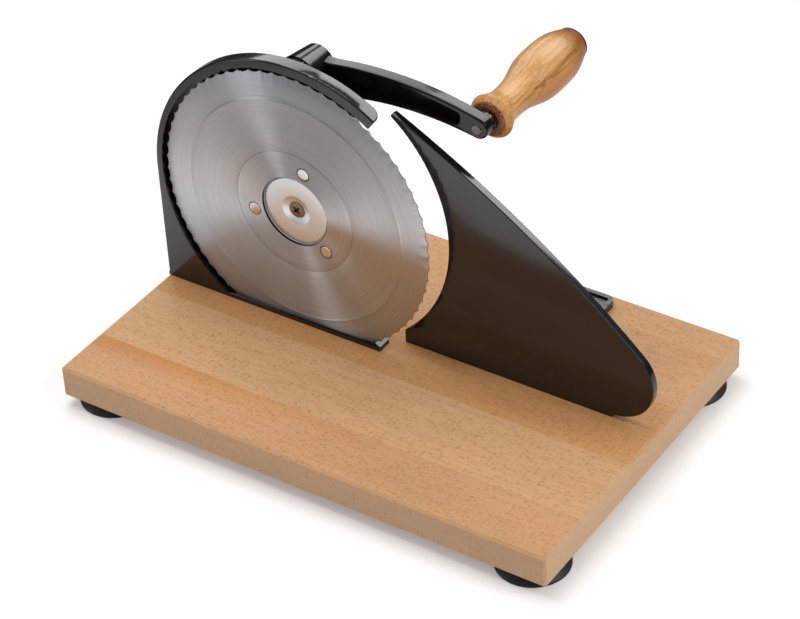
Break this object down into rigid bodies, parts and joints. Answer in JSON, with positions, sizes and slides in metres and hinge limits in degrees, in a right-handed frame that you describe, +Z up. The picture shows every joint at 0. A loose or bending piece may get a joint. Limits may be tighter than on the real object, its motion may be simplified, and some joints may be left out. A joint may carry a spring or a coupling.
{
  "type": "bread slicer with crank",
  "caption": "Hand-cranked bread slicer: round wavy blade in a guard on a wooden board with suction feet, crank with wooden handle, sliding stop plate.",
  "frame": {"origin": "centre of the rectangle the slicer covers on the table, at table height, under the soles of the four feet", "axes": "+X along the board's long edge towards the stop plate's end, +Y from the loaf's side to the crank handle's side, +Z up; the blade, the gears and the crank turn about axes parallel to Y"},
  "size_m": [0.3408, 0.2444, 0.2141],
  "materials": {
    "beech": "oiled, satin",
    "varnished_wood": "clear gloss varnish",
    "foot_rubber": "satin",
    "black_enamel": "gloss stove enamel, slight orange peel",
    "stainless": "brushed in circles",
    "bright_steel": "polished",
    "zinc_steel": "bright zinc plate",
    "dulled_steel": "dulled, dark cross",
    "spring_steel": "oiled",
    "pinion_steel": "machined, oiled",
    "satin_zinc": "satin",
    "bronze": "sintered, oiled",
    "acetal": "matt",
    "black_plastic": "satin gloss"
  },
  "bodies": {
    "base": {"base_board": "beech", "suction_feet": "foot_rubber", "foot_screws": "zinc_steel", "body_casting": "black_enamel", "body_screws": "zinc_steel", "wheel_bush": "bronze", "hub_cap": "satin_zinc", "hub_screw": "dulled_steel", "idler_pin": "bright_steel", "idler_clip": "spring_steel", "crank_bush": "bronze", "thrust_washer": "bright_steel", "guide_screws": "zinc_steel", "stud_insert": "bronze"},
    "cutter": {"blade": "stainless", "blade_wheel": "acetal", "blade_rivets": "bright_steel"},
    "idler": {"idler_gear": "acetal"},
    "crank": {"crank_pinion": "pinion_steel", "pinion_screw": "zinc_steel", "crank_shaft": "pinion_steel", "crank_arm": "black_enamel", "crank_washer": "zinc_steel", "crank_screw": "zinc_steel", "handle_axle": "bright_steel", "axle_washer": "zinc_steel", "axle_nut": "zinc_steel"},
    "grip": {"handle_grip": "varnished_wood", "grip_cap": "black_plastic"},
    "stop": {"stop_plate": "black_enamel"},
    "clamp": {"clamp_knob": "black_plastic", "clamp_stud": "zinc_steel", "clamp_washer": "zinc_steel"}
  },
  "joints": [
    {"name": "crank_turn", "type": "hinge", "parent": "base", "child": "crank", "pos_m": [-0.0688, 0.00675, 0.1968], "axis": [0, 1, 0], "continuous": true},
    {"name": "blade_spin", "type": "hinge", "parent": "base", "child": "cutter", "pos_m": [-0.0688, -0.00825, 0.1098], "axis": [0, 1, 0], "continuous": true},
    {"name": "idler_spin", "type": "hinge", "parent": "base", "child": "idler", "pos_m": [-0.0688, -0.00625, 0.16821], "axis": [0, 1, 0], "continuous": true},
    {"name": "grip_spin", "type": "hinge", "parent": "crank", "child": "grip", "pos_m": [0.04499, 0.07175, 0.18984], "axis": [0, 1, 0], "continuous": true},
    {"name": "stop_slide", "type": "slide", "parent": "base", "child": "stop", "axis": [0, 1, 0], "range_m": [-0.013, 0.0045]},
    {"name": "clamp_turn", "type": "hinge", "parent": "base", "child": "clamp", "pos_m": [0.05, 0.04175, 0.04], "axis": [0, 0, 1], "range_deg": [0, 180]}
  ],
  "couplings": [
    {"joint": "blade_spin", "follows": "crank_turn", "ratio": 0.25},
    {"joint": "idler_spin", "follows": "crank_turn", "ratio": -0.53333}
  ]
}
